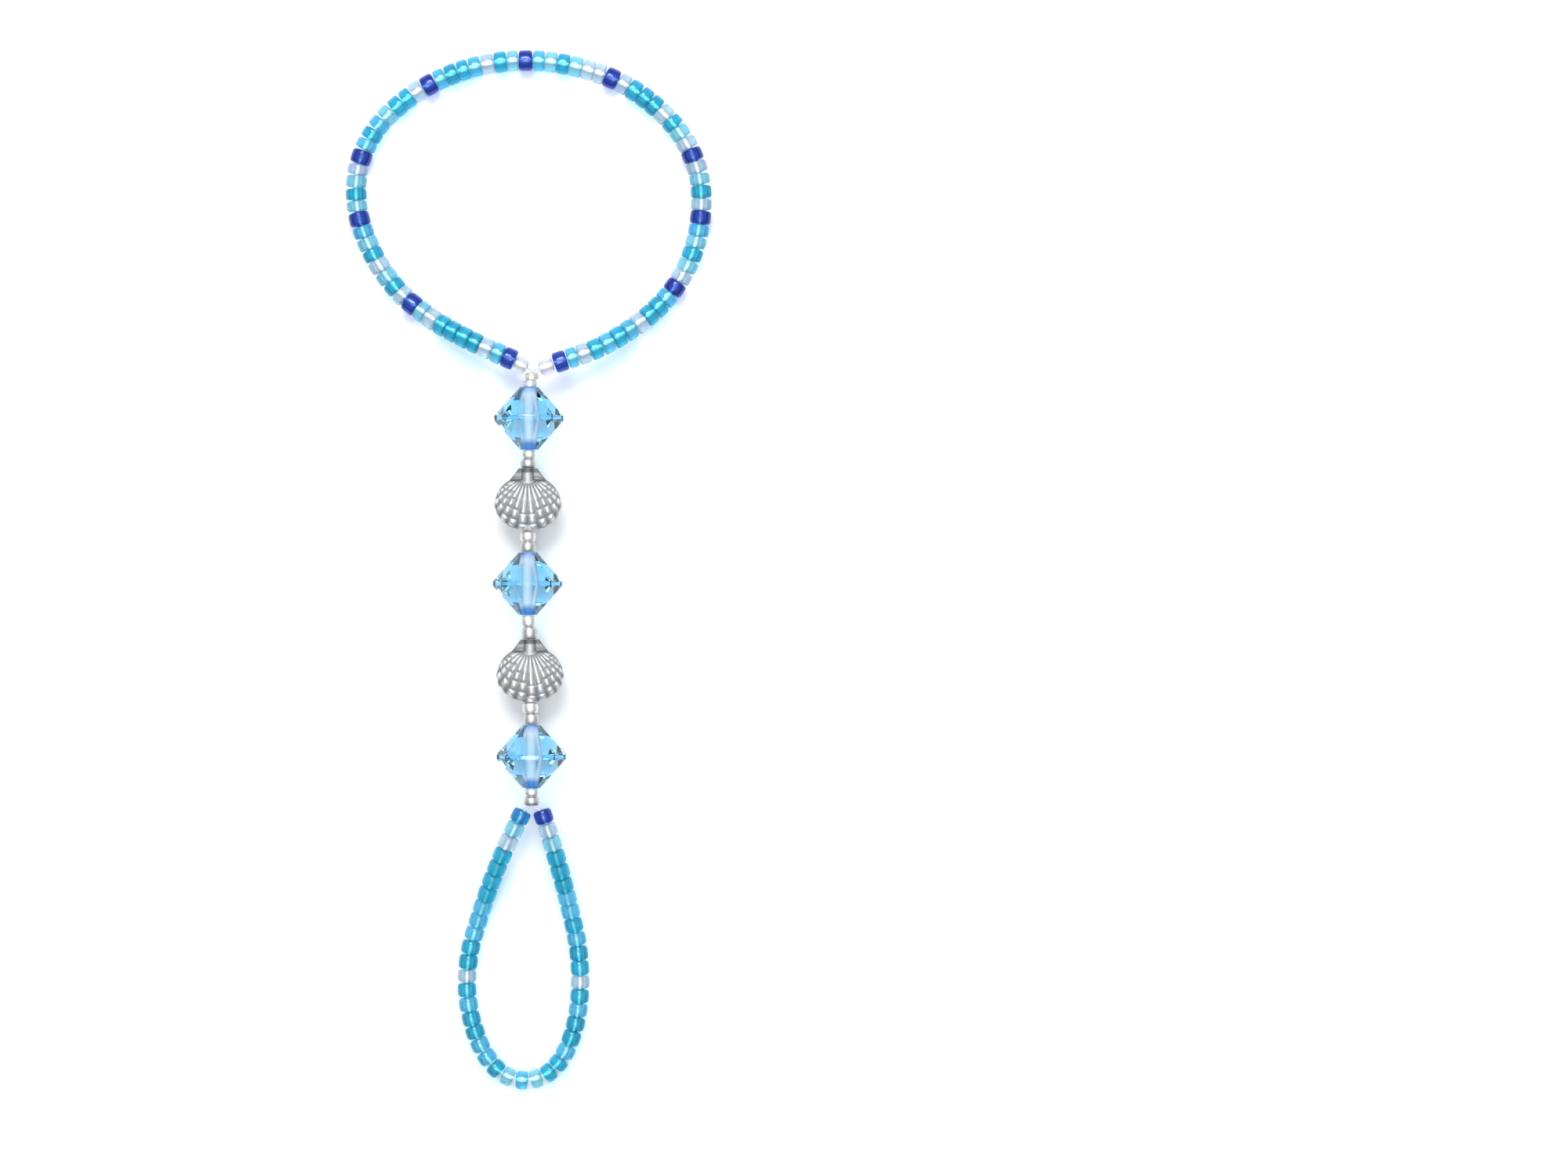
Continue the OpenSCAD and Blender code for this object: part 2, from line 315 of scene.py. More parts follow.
def antiqued_silver():
    """Cast silver: bright on the ribs, dark tarnish in the grooves, and painted highlight and shade on
    the hinge.
    """
    material, tree, metal = new_material("antiqued_silver")
    metal.inputs["Metallic"].default_value = 1
    height = tree.nodes.new("ShaderNodeAttribute")
    height.attribute_name = "relief"
    grain = noise(tree, 3000, 4)
    ramp = tree.nodes.new("ShaderNodeValToRGB")
    stops = ramp.color_ramp.elements
    stops[0].position = 0.0
    stops[0].color = (0.13, 0.14, 0.145, 1)
    stops[1].position = 0.9
    stops[1].color = (0.98, 0.98, 0.98, 1)
    for place, grey in ((0.14, 0.34), (0.48, 0.66)):
        stops.new(place).color = (grey, grey * 1.01, grey * 1.02, 1)
    shaken = math_node(tree, "MULTIPLY", math_node(tree, "SUBTRACT", grain, 0.5), 0.16)
    tree.links.new(math_node(tree, "ADD", height.outputs["Fac"], shaken), ramp.inputs["Fac"])
    tree.links.new(ramp.outputs["Color"], metal.inputs["Base Color"])
    wear_and_painted_light = math_node(tree, "MULTIPLY", height.outputs["Fac"], -0.22)
    tree.links.new(math_node(tree, "ADD", wear_and_painted_light, 0.62), metal.inputs["Roughness"])
    bump = tree.nodes.new("ShaderNodeBump")
    bump.inputs["Strength"].default_value = 0.25
    bump.inputs["Distance"].default_value = 0.00005
    tree.links.new(grain, bump.inputs["Height"])
    tree.links.new(bump.outputs["Normal"], metal.inputs["Normal"])
    return material


def elastic_material():
    material, tree, skin = new_material("clear_elastic")
    skin.inputs["Transmission Weight"].default_value = 0.75
    skin.inputs["IOR"].default_value = 1.45
    skin.inputs["Roughness"].default_value = 0.2
    milky = (0.78, 0.81, 0.84, 1)
    cloud = mixed(tree, noise(tree, 900), (0.9, 0.92, 0.94, 1), milky)
    tree.links.new(cloud, skin.inputs["Base Color"])
    let_lamps_through(material, skin, (0.85, 0.87, 0.88, 1))
    return material


# Mesh helpers

def piece_from(bm, name):
    mesh = bpy.data.meshes.new(name)
    bm.to_mesh(mesh)
    bm.free()
    thing = bpy.data.objects.new(name, mesh)
    bpy.context.scene.collection.objects.link(thing)
    return thing


def dress(thing, materials, slot, *nodes):
    """Gives a finished piece its materials, its body and the nodes it stands for. Its slot is not used.
    """
    for material in materials:
        thing.data.materials.append(material)
    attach(thing, "root")
    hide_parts(*nodes)


def spun(profile, steps):
    """A closed profile of (radius, height) in millimetres, spun round Z."""
    bm = bmesh.new()
    verts = [bm.verts.new((r * MM, 0, z * MM)) for r, z in profile]
    edges = [bm.edges.new((a, b)) for a, b in zip(verts, verts[1:] + verts[:1])]
    bmesh.ops.spin(
        bm, geom=verts + edges, cent=(0, 0, 0), axis=(0, 0, 1), angle=TURN, steps=steps,
        use_merge=True)
    bmesh.ops.recalc_face_normals(bm, faces=bm.faces)
    for face in bm.faces:
        face.smooth = True
    return bm


def bead_mesh(name, diameter, length, bore, outline, steps):
    """A bead along Z. Its hole's wall is the second material."""
    top = [(max(share * diameter, bore) / 2, height * length / 2) for share, height in outline]
    profile = top + [(r, -z) for r, z in reversed(top) if z > 0]
    bm = spun(profile, steps)
    for face in bm.faces:
        if all(math.hypot(v.co.x, v.co.y) < bore / 2 * MM * 1.01 for v in face.verts):
            face.material_index = 1
            face.smooth = True
    mesh = bpy.data.meshes.new(name)
    bm.to_mesh(mesh)
    bm.free()
    mesh.set_sharp_from_angle(angle=math.radians(50))
    return mesh


def strung(name, template, places):
    """Copies of one bead at their places, joined in one piece.

    Each has a tone of its own, and painted shade that deepens it towards its two ends.
    """
    bm = bmesh.new()
    for place in places:
        start = len(bm.verts)
        bm.from_mesh(template)
        bm.verts.ensure_lookup_table()
        bmesh.ops.transform(bm, matrix=place, verts=bm.verts[start:])
    thing = piece_from(bm, name)
    tip = max(vert.co.z for vert in template.vertices)
    # Painted shade: deep colour laid on towards each bead's two ends, where it meets its neighbours
    deeper = [0.7 * (vert.co.z / tip) ** 2 for vert in template.vertices]
    tones = [random.uniform(0, 0.6) for _ in places]
    tone = thing.data.attributes.new("tone", "FLOAT", "POINT")
    tone.data.foreach_set("value", [value + more for value in tones for more in deeper])
    return thing


# The two loops of seed beads

ANKLET_POINTS = (
    (-3.4, 39.8), (-10.6, 43.1), (-17.9, 47.2), (-24.5, 52.6), (-29.4, 59.6), (-32.3, 67.6),
    (-32.3, 75.8), (-29.2, 83), (-23.4, 88.9), (-16, 93.2), (-8, 95.7), (0.4, 96.4), (8.6, 95.3),
    (16.6, 92.6), (23.5, 88.1), (29, 82.1), (32.2, 74.7), (32.5, 66.6), (30.5, 58.6),
    (26.3, 51.7), (20.4, 46.2), (13.4, 41.9), (6.1, 39.2))
TOE_POINTS = (
    (-1.3, -46.4), (-4, -52), (-6.7, -58.3), (-9.2, -65.3), (-11.2, -72.4), (-11.7, -79.4),
    (-10.6, -86), (-8.3, -91.6), (-5, -95.3), (-0.9, -96.6), (3.2, -95.5), (6.5, -92),
    (8.8, -86), (9.7, -79), (9.3, -71.5), (7.9, -64.5), (6.3, -57.7), (4.6, -51.5), (3, -46.4))
# A letter for each bead: N cobalt, T turquoise, S sky, A pale aqua, C clear, P capri
ANKLET_CHART = (
    "NSCTTTTCA" "NCTACTAS" "NATAC" "NSTSATTC" "NSTTSCTA" "NSATACC" "NCTTTCTAC" "NCATC"
    "NSATAC" "NSTTCSTSTCS" "N")
TOE_CHART = "PACTTTTSSSTTCTST" "TSSTASATTSTTS" "TCTTSTSSTTTACN"
JUNCTION_DROP = 0.2


class Loop:
    """A string of beads: its flat centre line, and its rise to the centre strand."""

    def __init__(self, points, floor_z, slope):
        self.line = self.smooth(points)
        self.stops = [0.0]
        for a, b in zip(self.line, self.line[1:]):
            self.stops.append(self.stops[-1] + (b - a).length)
        self.length = self.stops[-1]
        self.floor_z = floor_z
        self.slope = slope

    @staticmethod
    def smooth(points, cuts=6):
        last = len(points) - 1
        line = []
        for i in range(last):
            near = (max(i - 1, 0), i, i + 1, min(i + 2, last))
            a, b, c, d = (Vector(points[k]) for k in near)
            for k in range(cuts):
                u = k / cuts
                line.append((2 * b + (c - a) * u + (2 * a - 5 * b + 4 * c - d) * u * u
                             + (3 * b - a - 3 * c + d) * u ** 3) / 2)
        return line + [Vector(points[last])]

    def place(self, s):
        """The point of the centre line at a distance along it."""
        k = min(max(bisect.bisect_right(self.stops, s), 1), len(self.stops) - 1)
        share = (s - self.stops[k - 1]) / (self.stops[k] - self.stops[k - 1])
        x, y = self.line[k - 1].lerp(self.line[k], min(max(share, 0), 1))
        end = max(min(s, self.length - s), 0)
        rise = 0 if end >= self.slope else (1 + math.cos(math.pi * end / self.slope)) / 2
        return Vector((x, y, self.floor_z + (STRAND_Z - JUNCTION_DROP - self.floor_z) * rise))

    def heading(self, s):
        s = min(max(s, 0.4), self.length - 0.4)
        return self.place(s + 0.4) - self.place(s - 0.4)


ANKLET_BEAD_D = 4
TOE_BEAD_D = 3.6
# How far from its ends each loop rises from the floor to the strand
ANKLET_SLOPE = 28
TOE_SLOPE = 26
ANKLET = Loop(ANKLET_POINTS, ANKLET_BEAD_D / 2, ANKLET_SLOPE)
TOE = Loop(TOE_POINTS, TOE_BEAD_D / 2, TOE_SLOPE)


def aimed(at, along, roll=0.0):
    """A matrix that stands something made along Z at a place, along a direction."""
    turn = Vector(along).to_track_quat("Z", "Y").to_matrix().to_4x4()
    return Matrix.Translation(Vector(at) * MM) @ turn @ Matrix.Rotation(roll, 4, "Z")


def bead_places(loop, chart, diameter):
    """For each letter of the chart, the matrices of its beads, none quite like the next.

    A bead is made 1 mm long. Its matrix gives it the length that it has room for: from joint
    to joint, less what the bend of the loop takes on the inside and a little play.
    """
    pitch = loop.length / (len(chart) - 1)
    joints = [-0.5]
    for i, (letter, after) in enumerate(zip(chart, chart[1:])):
        push = COBALT_PUSH * ((letter == "N") - (after == "N"))
        joints.append(i + 0.5 + push + random.uniform(-JOINT_PLAY, JOINT_PLAY))
    joints.append(len(chart) - 0.5)
    places = {}
    for letter, start, end in zip(chart, joints, joints[1:]):
        s = (start + end) / 2 * pitch
        bend = loop.heading(start * pitch).angle(loop.heading(end * pitch))
        nudge = Vector([random.uniform(-1, 1) for _ in range(3)])
        along = loop.heading(s).normalized() + nudge * TILT
        width = 1 - random.uniform(*THINNER)
        length = (end - start) * pitch - bend * diameter * CONTACT_SHARE / 2
        length -= random.uniform(*PLAY)
        matrix = aimed(loop.place(s), along, random.uniform(0, TURN))
        places.setdefault(letter, []).append(matrix @ Matrix.Diagonal((width, width, length, 1)))
    return places


ANKLET_OUTLINE = (
    (0, 0.86), (0.40, 0.96), (0.50, 1.0), (0.76, 0.995), (0.88, 0.94), (0.96, 0.81),
    (0.992, 0.58), (1.0, 0.2))
TOE_OUTLINE = (
    (0, 0.84), (0.44, 0.95), (0.54, 1.0), (0.72, 0.99), (0.86, 0.91), (0.95, 0.74),
    (0.99, 0.48), (1.0, 0.15))
LOOP_BORE = 1.4
BEAD_STEPS = 18
# How far a bead tilts, how much thinner than the others it is, and its play along the cord
TILT = 0.012
THINNER = (0.002, 0.022)
PLAY = (0.03, 0.07)
# How far out two neighbours touch, as a share of their diameter
CONTACT_SHARE = 0.8
# How much the joints between beads wander, and how much a cobalt bead pushes each of its
# own out, as shares of the beads' pitch
JOINT_PLAY = 0.05
COBALT_PUSH = 0.07
COLOUR_NAMES = {
    "N": "cobalt", "T": "turquoise", "S": "sky", "A": "aqua", "C": "clear", "P": "capri"}
COLOUR_SLOTS = {
    "N": "cobalt_glass", "T": "turquoise_glass", "S": "sky_glass", "A": "pale_glass",
    "C": "clear_glass", "P": "capri_glass"}


def make_loop_beads(name, loop, chart, diameter, outline):
    mesh = bead_mesh(name + "_bead", diameter, 1, LOOP_BORE, outline, BEAD_STEPS)
    for letter, places in bead_places(loop, chart, diameter).items():
        beads = strung(f"{name}_{COLOUR_NAMES[letter]}", mesh, places)
        dress(beads, BEAD_MATERIALS[letter], COLOUR_SLOTS[letter], name + "_beads")


# The centre strand

CRYSTAL_L = 11.8
STRAND_TOP = 37
BEAD_GAP = 0.1
STRAND = (
    ("seed", 1.2), ("seed", 1.2), ("crystal", CRYSTAL_L), ("spacer", 1.6), ("spacer", 1.6),
    ("shell", 11.8), ("spacer", 1.85), ("spacer", 1.85), ("crystal", CRYSTAL_L),
    ("spacer", 2.15), ("spacer", 2.15), ("shell", 11.8), ("spacer", 2), ("spacer", 2),
    ("crystal", CRYSTAL_L), ("spacer", 1.55), ("spacer", 1.55))
SWAY = (
    (-44.5, 0.8), (-29, 0.8), (-25.2, 0.5), (-13, 0.5), (-8.6, 0.1), (19.2, 0.1),
    (22.6, 0.35), (34.4, 0.35), (37.3, 1))


def sway(y):
    """How far the strand has swayed sideways at a height along it."""
    y = min(max(y, SWAY[0][0]), SWAY[-1][0])
    for (low, a), (high, b) in zip(SWAY, SWAY[1:]):
        if y <= high:
            return a + (b - a) * (y - low) / (high - low)
    return SWAY[-1][1]


def strand_beads():
    """Each bead of the strand as (kind, its number, length, place)."""
    counts = {}
    top = STRAND_TOP
    beads = []
    for kind, length in STRAND:
        counts[kind] = counts.get(kind, 0) + 1
        y = top - length / 2
        beads.append((kind, counts[kind], length, Vector((sway(y), y, STRAND_Z))))
        top -= length + BEAD_GAP
    return beads


CRYSTAL_D = 13
CRYSTAL_FACETS = 12
TABLE_D = 3.4
GIRDLE = 0.9
# Rings of a crystal's hole: the height as a share of half its length, and how pale it is, where 0 is the
# full painted blue shade at the hole's ends
WALL_RINGS = ((-1, 0), (-0.72, 0.1), (-0.5, 1), (0.62, 1), (1, 0))
STRAND_BORE = 2


def boundary(bm):
    return [edge for edge in bm.edges if edge.is_boundary]


def crystal_bmesh():
    """A bicone of flat facets with a softened edge between them, and a round bore, along Z."""
    bm = bmesh.new()
    corner = 1 / math.cos(math.pi / CRYSTAL_FACETS)
    half = CRYSTAL_L / 2
    outline = (
        (TABLE_D / 2, -half), (CRYSTAL_D / 2, -GIRDLE / 2), (CRYSTAL_D / 2, GIRDLE / 2),
        (TABLE_D / 2, half))
    turn = Matrix.Rotation(math.pi / CRYSTAL_FACETS, 4, "Z")
    verts = [bm.verts.new(turn @ Vector((r * corner * MM, 0, z * MM))) for r, z in outline]
    edges = [bm.edges.new((a, b)) for a, b in zip(verts, verts[1:])]
    bmesh.ops.spin(
        bm, geom=verts + edges, cent=(0, 0, 0), axis=(0, 0, 1), angle=TURN,
        steps=CRYSTAL_FACETS, use_merge=True)
    inner = [edge for edge in bm.edges if not edge.is_boundary]
    bmesh.ops.bevel(
        bm, geom=inner, offset=0.14 * MM, offset_type="OFFSET", segments=2, profile=0.5,
        affect="EDGES", material=-1)
    # How far each ring of the wall is out of the painted shade at the hole's ends
    middle = bm.verts.layers.float.new("middle")
    line = []
    for share, pale in WALL_RINGS:
        line.append(bm.verts.new((STRAND_BORE / 2 * MM, 0, share * half * MM)))
        line[-1][middle] = pale
    wall = [bm.edges.new(pair) for pair in zip(line, line[1:])]
    bmesh.ops.spin(
        bm, geom=line + wall, cent=(0, 0, 0), axis=(0, 0, 1), angle=TURN, steps=32,
        use_merge=True)
    for side in (-1, 1):
        ring = [
            edge for edge in boundary(bm)
            if all(abs(v.co.z - side * half * MM) < 0.02 * MM for v in edge.verts)]
        bmesh.ops.bridge_loops(bm, edges=ring)
    bmesh.ops.recalc_face_normals(bm, faces=bm.faces)
    for face in bm.faces:
        if all(math.hypot(v.co.x, v.co.y) < STRAND_BORE / 2 * MM * 1.01 for v in face.verts):
            face.smooth = True
            face.material_index = 1
    return bm


def make_crystal(number, place):
    bm = crystal_bmesh()
    bmesh.ops.transform(bm, matrix=aimed(place, (0, 1, 0)), verts=bm.verts)
    crystal = piece_from(bm, f"cut_crystal_{number}")
    dress(crystal, [CRYSTAL_GLASS, DRILLED_GLASS], "crystal", f"crystal_{number}")


SILVER_OUTLINE = (
    (0, 0.80), (0.70, 0.97), (0.76, 1.0), (0.84, 0.90), (0.92, 0.68), (0.975, 0.38), (1.0, 0.0))
SPACER_D = 3
SEED_D = 2.6
ROUND_STEPS = 36


def make_round_bead(name, number, length, place, diameter, outline, materials, slot):
    mesh = bead_mesh(name, diameter, length, STRAND_BORE, outline, ROUND_STEPS)
    bead = strung(f"{name}_bead_{number}", mesh, [aimed(place, (0, 1, 0))])
    dress(bead, materials, slot, f"{name}_{number}")


# The shells

SHELL_W = 12.7
SHELL_L = 11.8
SHELL_T = 4.8
DISC_Y = -0.85
DISC_B = SHELL_L / 2 + DISC_Y
HINGE_Y = 3.7
HINGE_W = 6.8
HINGE_TOP_W = 3.4
HINGE_T = 2
FAN_ROOT_W = 3
FAN_ANGLE = math.radians(120)
FAN_BOW = 1.2
RIM_T = 1.1
RIM_ROUND = 0.04
SCALLOP = 0.16
TUBE_D = 2.9
RIBS = 12
RIB_H = 0.4
# The share of a shell's grid, from the top down, that is its hinge
HINGE_SHARE = 0.16
SHELL_ACROSS = 168
SHELL_ALONG = 84
# For each rib from the middle out: how far down it starts to break up, and where its last
# bright lozenge lies
RIB_BREAKS = ((0.60, 0.775), (0.50, 0.91), (0.42, 0.93), (0.34, 0.83), (0.30, 0.90), (0.30, 0.80))
LOZENGE_STEP = 0.186
# How far the middle of the pattern lies off the middle of each shell, as a share of the fan
SHELL_SHIFTS = (0.0, 0.12)


def eased(low, high, value):
    """A smooth rise from 0 to 1 between two values."""
    share = min(max((value - low) / (high - low), 0.0), 1.0)
    return share * share * (3 - 2 * share)


def rib(t):
    return (1 - math.cos(math.pi * (t + 1) * RIBS)) / 2


def fan_point(t, v):
    """Flat place of the fan: t goes across it from -1 to 1, and v from the hinge to the rim."""
    root = t * (FAN_ROOT_W + (HINGE_W - FAN_ROOT_W) * t ** 6) / 2
    notch = SCALLOP * (1 - rib(t)) * v ** 8
    rim = Vector((
        (SHELL_W / 2 - notch) * math.sin(t * FAN_ANGLE),
        DISC_Y - (DISC_B - notch) * math.cos(t * FAN_ANGLE)))
    return Vector((root, HINGE_Y)).lerp(rim, v) + Vector((FAN_BOW * t * v * (1 - v), 0))


def shell_place(t, w):
    """Flat place of the whole shell, with w from the top of the hinge to the rim."""
    if w >= HINGE_SHARE:
        return fan_point(t, (w - HINGE_SHARE) / (1 - HINGE_SHARE))
    return Vector((t * HINGE_TOP_W / 2, SHELL_L / 2)).lerp(fan_point(t, 0), w / HINGE_SHARE)


def dome(x, y):
    r = math.hypot(x / (SHELL_W / 2), (y - DISC_Y) / DISC_B)
    full = SHELL_T / 2 - RIB_H - RIM_T / 2
    return RIM_T / 2 + full * max(0.0, 1 - r ** 2.5) ** 0.7


def relief(t, v):
    """Height of the cast pattern from 0 to 1: ribs that break up into staggered lozenges."""
    order = min(int(abs(t) * RIBS / 2), RIBS // 2 - 1)
    start, last = RIB_BREAKS[order]
    if order == 0:
        gap = min(abs(v - 0.68) / 0.018, abs(v - 0.875) / 0.024)
        width = 0.55 if 0.68 < v < 0.875 else 0.8
    else:
        away = abs((v - last + LOZENGE_STEP / 2) % LOZENGE_STEP - LOZENGE_STEP / 2)
        gap = (LOZENGE_STEP / 2 - away) / 0.04
        width = 0.8
    broken = 1 - 0.8 * math.exp(-gap * gap) * eased(start - 0.1, start + 0.05, v)
    ear = 1 - t ** 8
    band = 1 - 0.45 * eased(0.92, 0.98, v)
    return rib(t) ** width * broken * ear * band * eased(0.0, 0.22, v)


def shell_height(t, w, x, y, pattern):
    """Half the thickness of the shell at a place."""
    body = dome(x, y) + pattern * RIB_H
    plate = HINGE_T / 2 - 0.2 * t * t
    body = plate + (body - plate) * eased(HINGE_SHARE * 0.6, HINGE_SHARE * 1.1, w)
    edge = max(0.0, (w - 1 + RIM_ROUND) / RIM_ROUND, (abs(t) - 1 + RIM_ROUND) / RIM_ROUND)
    body *= 0.35 + 0.65 * math.sqrt(max(0.0, 1 - edge * edge))
    return max(body, math.sqrt(max(0.0, (TUBE_D / 2) ** 2 - x * x)))


def patina_and_painted_light(t, w, x, pattern):
    """How bright the silver is: the fan's ribs are bright and its grooves tarnished dark; on the hinge
    the cap is darker, a painted highlight runs down the tube and painted shade lies in the lower
    corners.
    """
    if w > HINGE_SHARE * 1.4:
        return 0.12 + 0.88 * pattern
    cap = eased(0.34, 0.42, w / HINGE_SHARE)
    # Painted highlight down the middle of the hinge's tube
    tube = 1 - eased(0.6, 1.2, abs(x))
    # Painted shade in the hinge's lower corners, where it meets the fan
    corner = eased(0.75, 1.0, w / HINGE_SHARE) * eased(0.45, 0.8, abs(t))
    return 0.03 + cap * (0.12 + 0.18 * tube - 0.1 * corner)


def shell_mesh(shift):
    """A closed shell, both faces alike, and the brightness mark of each of its vertices: tarnish in the
    grooves, painted highlight and shade on the hinge.
    """
    bm = bmesh.new()
    bmesh.ops.create_grid(bm, x_segments=SHELL_ACROSS, y_segments=SHELL_ALONG, size=1)
    marks = []
    for vert in bm.verts:
        t, w = vert.co.x, (1 - vert.co.y) / 2
        at = shell_place(t, w)
        v = max(0.0, (w - HINGE_SHARE) / (1 - HINGE_SHARE))
        pattern = relief(t - shift * (1 - t * t), v)
        vert.co = Vector((at.x, at.y, shell_height(t, w, at.x, at.y, pattern))) * MM
        marks.append(patina_and_painted_light(t, w, at.x, pattern))
    ring = boundary(bm)
    copy = bmesh.ops.duplicate(bm, geom=list(bm.verts) + list(bm.edges) + list(bm.faces))
    back = [part for part in copy["geom"] if isinstance(part, bmesh.types.BMVert)]
    bmesh.ops.scale(bm, vec=(1, 1, -1), verts=back)
    back_ring = [
        part for part in copy["geom"] if isinstance(part, bmesh.types.BMEdge) and part.is_boundary]
    bmesh.ops.bridge_loops(bm, edges=ring + back_ring)
    bmesh.ops.recalc_face_normals(bm, faces=bm.faces)
    return bm, marks + marks


def drilled(thing, diameter, length):
    """Cuts a round hole along Y through a piece."""
    bm = bmesh.new()
    bmesh.ops.create_cone(
        bm, cap_ends=True, segments=40, radius1=diameter / 2 * MM, radius2=diameter / 2 * MM,
        depth=length * MM)
    bmesh.ops.rotate(bm, cent=(0, 0, 0), matrix=Matrix.Rotation(math.pi / 2, 3, "X"), verts=bm.verts)
    drill = piece_from(bm, "drill")
    cut = thing.modifiers.new("hole", "BOOLEAN")
    cut.operation = "DIFFERENCE"
    cut.solver = "EXACT"
    cut.object = drill
    result = bpy.data.meshes.new_from_object(
        thing.evaluated_get(bpy.context.evaluated_depsgraph_get()))
    thing.modifiers.clear()
    thing.data = result
    bpy.data.objects.remove(drill)


def make_shell(number, place):
    bm, marks = shell_mesh(SHELL_SHIFTS[number - 1])
    known = KDTree(len(marks))
    for index, vert in enumerate(bm.verts):
        known.insert(vert.co, index)
    known.balance()
    shell = piece_from(bm, f"scallop_{number}")
    drilled(shell, STRAND_BORE, SHELL_L + 1)
    mesh = shell.data
    # The brightness of each vertex: bright ribs and tarnished grooves, with painted highlight and shade
    # on the hinge, and dark in the hole
    wear_and_painted_light = []
    for vert in mesh.vertices:
        inside = math.hypot(vert.co.x, vert.co.z) < STRAND_BORE / 2 * MM * 1.01
        wear_and_painted_light.append(0.1 if inside else marks[known.find(vert.co)[1]])
    mesh.attributes.new("relief", "FLOAT", "POINT").data.foreach_set("value", wear_and_painted_light)
    mesh.transform(Matrix.Translation(place * MM))
    mesh.shade_smooth()
    mesh.set_sharp_from_angle(angle=math.radians(55))
    dress(shell, [ANTIQUED_SILVER], "antiqued_silver", f"shell_{number}")


# The elastic cord

CORD_D = 0.6
RUN_OFFSET = 0.36
TOE_BEAD_L = 2.1


def cord_route():
    """The closed route of the cord, as the part's source has it."""
    split = Vector((SWAY[-1][1], SWAY[-1][0], STRAND_Z))

    def lead_in(loop, start, on):
        at = loop.place(start)
        return at + (at - loop.place(on)).normalized() * (TOE_BEAD_L / 2 + BEAD_GAP)

    def run(side, bends):
        return [Vector((x + side * RUN_OFFSET, y, STRAND_Z)) for y, x in bends]

    def loop_line(loop, count):
        return [loop.place(loop.length * k / count) for k in range(count + 1)]

    anklet = loop_line(ANKLET, 30)
    return [
        lead_in(TOE, 0, 1), *loop_line(TOE, 32), lead_in(TOE, TOE.length, TOE.length - 1),
        *run(1, SWAY), (split + anklet[-1]) / 2, *reversed(anklet), (split + anklet[0]) / 2,
        *run(-1, SWAY[::-1])]


def make_cord():
    curve = bpy.data.curves.new("elastic", "CURVE")
    curve.dimensions = "3D"
    curve.bevel_depth = CORD_D / 2 * MM * 0.98
    curve.bevel_resolution = 3
    route = cord_route()
    line = curve.splines.new("POLY")
    line.points.add(len(route) - 1)
    for point, at in zip(line.points, route):
        point.co = (*(at * MM), 1)
    line.use_cyclic_u = True
    thing = bpy.data.objects.new("elastic", curve)
    bpy.context.scene.collection.objects.link(thing)
    mesh = bpy.data.meshes.new_from_object(
        thing.evaluated_get(bpy.context.evaluated_depsgraph_get()))
    bpy.data.objects.remove(thing)
    cord = bpy.data.objects.new("elastic_thread", mesh)
    bpy.context.scene.collection.objects.link(cord)
    dress(cord, [elastic_material()], "elastic", "elastic_cord")


# The silver-lined beads where the anklet loop meets the strand

ANKLET_BEAD_L = 2.1
JUNCTION_D = 3.5
JUNCTION_GAP = 0.3
JUNCTION_STEPS = 32
JUNCTION_OUTLINE = (
    (0, 0.90), (0.46, 0.96), (0.55, 1.0), (0.70, 0.93), (0.84, 0.76), (0.94, 0.50), (1.0, 0.0))


def make_junction(side, first):
    split = Vector((SWAY[-1][1], SWAY[-1][0], STRAND_Z))
    length = (first - split).length - ANKLET_BEAD_L - 2 * JUNCTION_GAP
    mesh = bead_mesh("junction_" + side, JUNCTION_D, length, LOOP_BORE, JUNCTION_OUTLINE, JUNCTION_STEPS)
    bead = strung("lined_bead_" + side, mesh, [aimed((split + first) / 2, first - split)])
    dress(bead, SILVERED_GLASS, "clear_glass", "junction_bead_" + side)


# Everything in its order

random.seed(7)
GLASS_TONE = make_glass_tone()
BRIGHT_LINING = lining("silver_lining", (0.94, 0.95, 0.96), 0.4)
# For each letter of the charts: the glass, its colour, its deep colour and its shadow's colour
GLASSES = {
    "N": ("cobalt_glass", (0.022, 0.085, 0.52), (0.004, 0.02, 0.26), (0.45, 0.52, 0.90)),
    "T": ("turquoise_glass", (0.05, 0.60, 0.86), (0.0, 0.32, 0.48), (0.62, 0.90, 0.95)),
    "S": ("sky_glass", (0.18, 0.69, 0.94), (0.05, 0.47, 0.72), (0.75, 0.92, 0.98)),
    "A": ("aqua_glass", (0.36, 0.77, 0.91), (0.18, 0.57, 0.74), (0.88, 0.97, 0.98)),
    "C": ("clear_glass", (0.62, 0.78, 0.90), (0.44, 0.62, 0.78), (0.95, 0.97, 0.98)),
    "P": ("capri_glass", (0.04, 0.38, 0.78), (0.01, 0.18, 0.50), (0.50, 0.72, 0.94)),
}
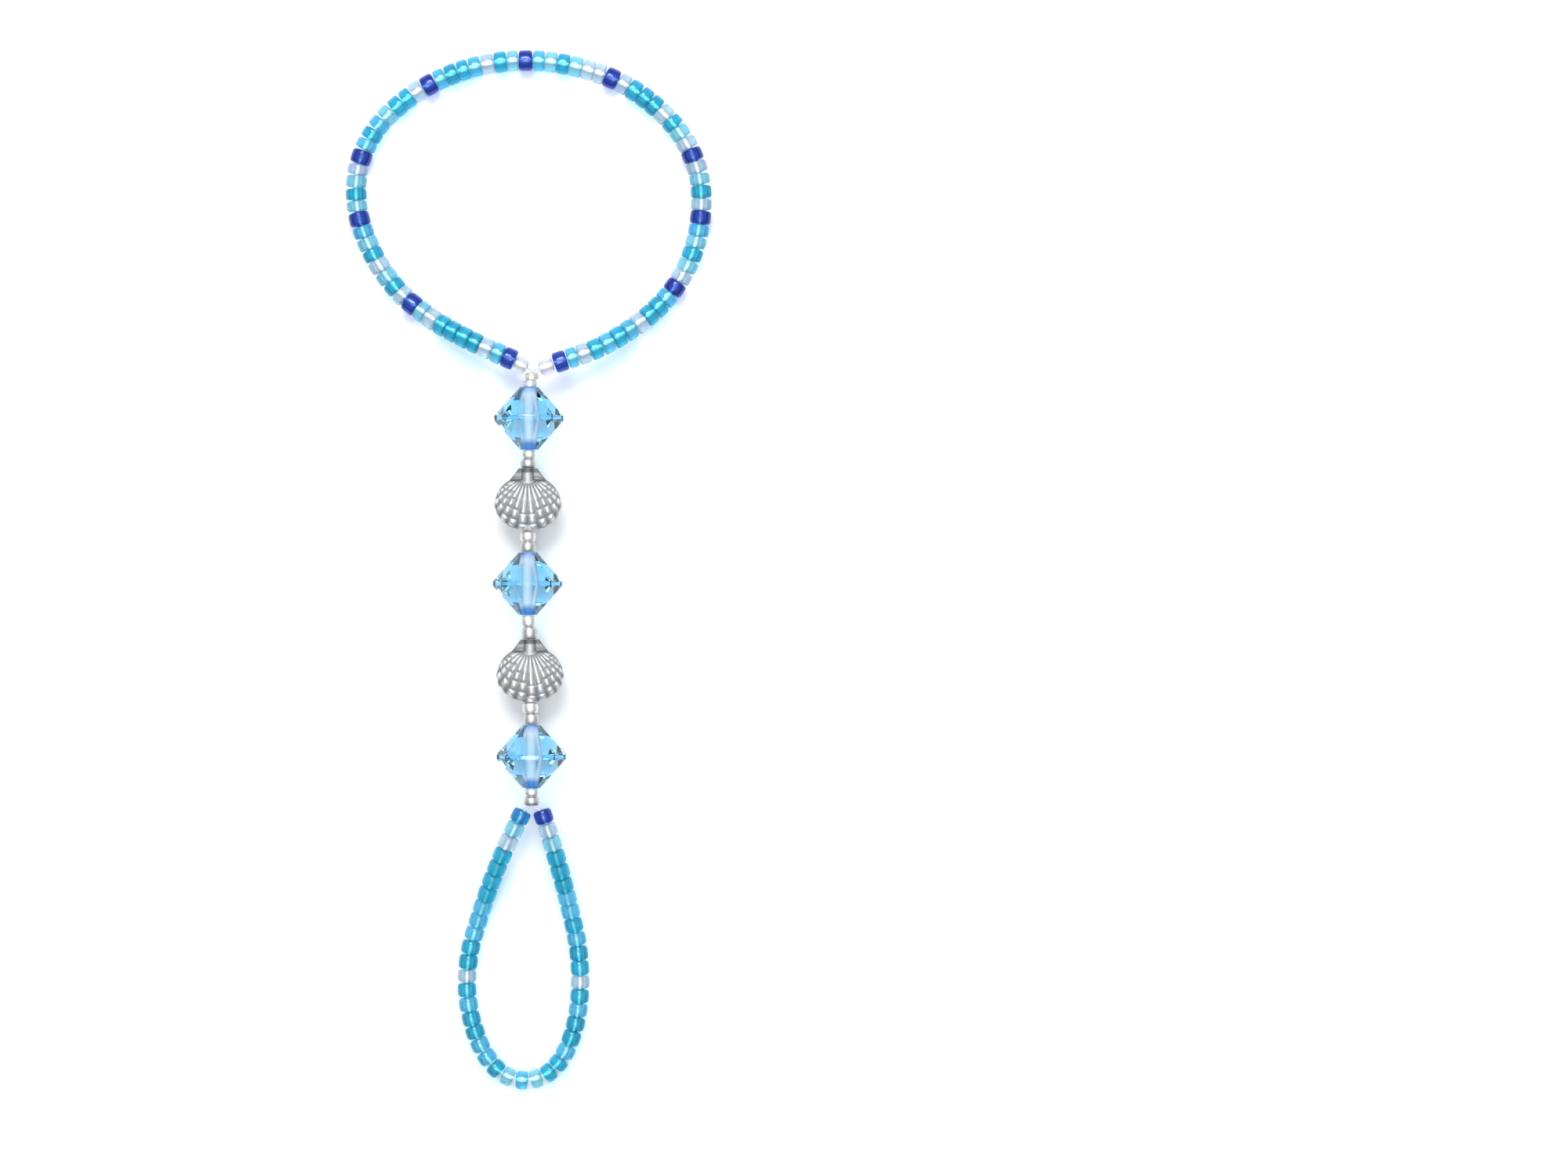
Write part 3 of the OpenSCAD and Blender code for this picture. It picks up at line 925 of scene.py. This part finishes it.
BEAD_MATERIALS = {letter: [bead_glass(*glass), BRIGHT_LINING] for letter, glass in GLASSES.items()}
CRYSTAL_GLASS = crystal_glass()
DRILLED_GLASS = drilled_glass()
BRIGHT_SILVER = silver("bright_silver", (0.98, 0.98, 0.98), 0.46)
# A darker copy of the same silver, for painted shade on the lower spacer of each pair
PAINTED_SHADE_SILVER = silver("painted_shade_silver", (0.74, 0.73, 0.72), 0.46)
ANTIQUED_SILVER = antiqued_silver()
CREAM_GLASS = [
    bead_glass("cream_glass", (0.95, 0.93, 0.85), (0.86, 0.83, 0.72), (0.9, 0.88, 0.8)),
    BRIGHT_LINING]
SILVERED_GLASS = [
    bead_glass("silvered_glass", (0.94, 0.95, 0.97), (0.76, 0.79, 0.88), (0.94, 0.95, 0.98)),
    BRIGHT_LINING]

make_camera()
make_world()
make_floor()
make_light("key", (-0.06, 0.62, 0.95), (0, 0, 0), (0.5, 0.35), 7.2, (1.0, 0.99, 0.97))
make_light("overhead", (0.05, -0.12, 1.35), (0, 0, 0), (1.3, 1.1), 5.0, (0.98, 0.99, 1.0))
make_light("spark", (-0.01, -0.16, 1.2), (0, -0.05, 0), (0.26, 0.26), 1.6, (1.0, 1.0, 1.0))

make_loop_beads("anklet", ANKLET, ANKLET_CHART, ANKLET_BEAD_D, ANKLET_OUTLINE)
make_loop_beads("toe", TOE, TOE_CHART, TOE_BEAD_D, TOE_OUTLINE)
make_junction("left", ANKLET.place(0))
make_junction("right", ANKLET.place(ANKLET.length))
for kind, number, length, place in strand_beads():
    if kind == "crystal":
        make_crystal(number, place)
    elif kind == "shell":
        make_shell(number, place)
    elif kind == "spacer":
        # The lower spacer of each pair takes the darker copy of the silver, as painted shade
        silver_or_painted_shade = PAINTED_SHADE_SILVER if number % 2 == 0 else BRIGHT_SILVER
        make_round_bead(
            "spacer", number, length, place, SPACER_D, SILVER_OUTLINE, [silver_or_painted_shade, silver_or_painted_shade], "silver")
    elif number == 1:
        make_round_bead(
            "seed", 1, length, place, SEED_D, SILVER_OUTLINE, CREAM_GLASS, "cream_glass")
    else:
        make_round_bead(
            "seed", 2, length, place, SEED_D, SILVER_OUTLINE, SILVERED_GLASS, "pale_glass")
make_cord()

scene = bpy.context.scene
scene.view_settings.view_transform = "Standard"
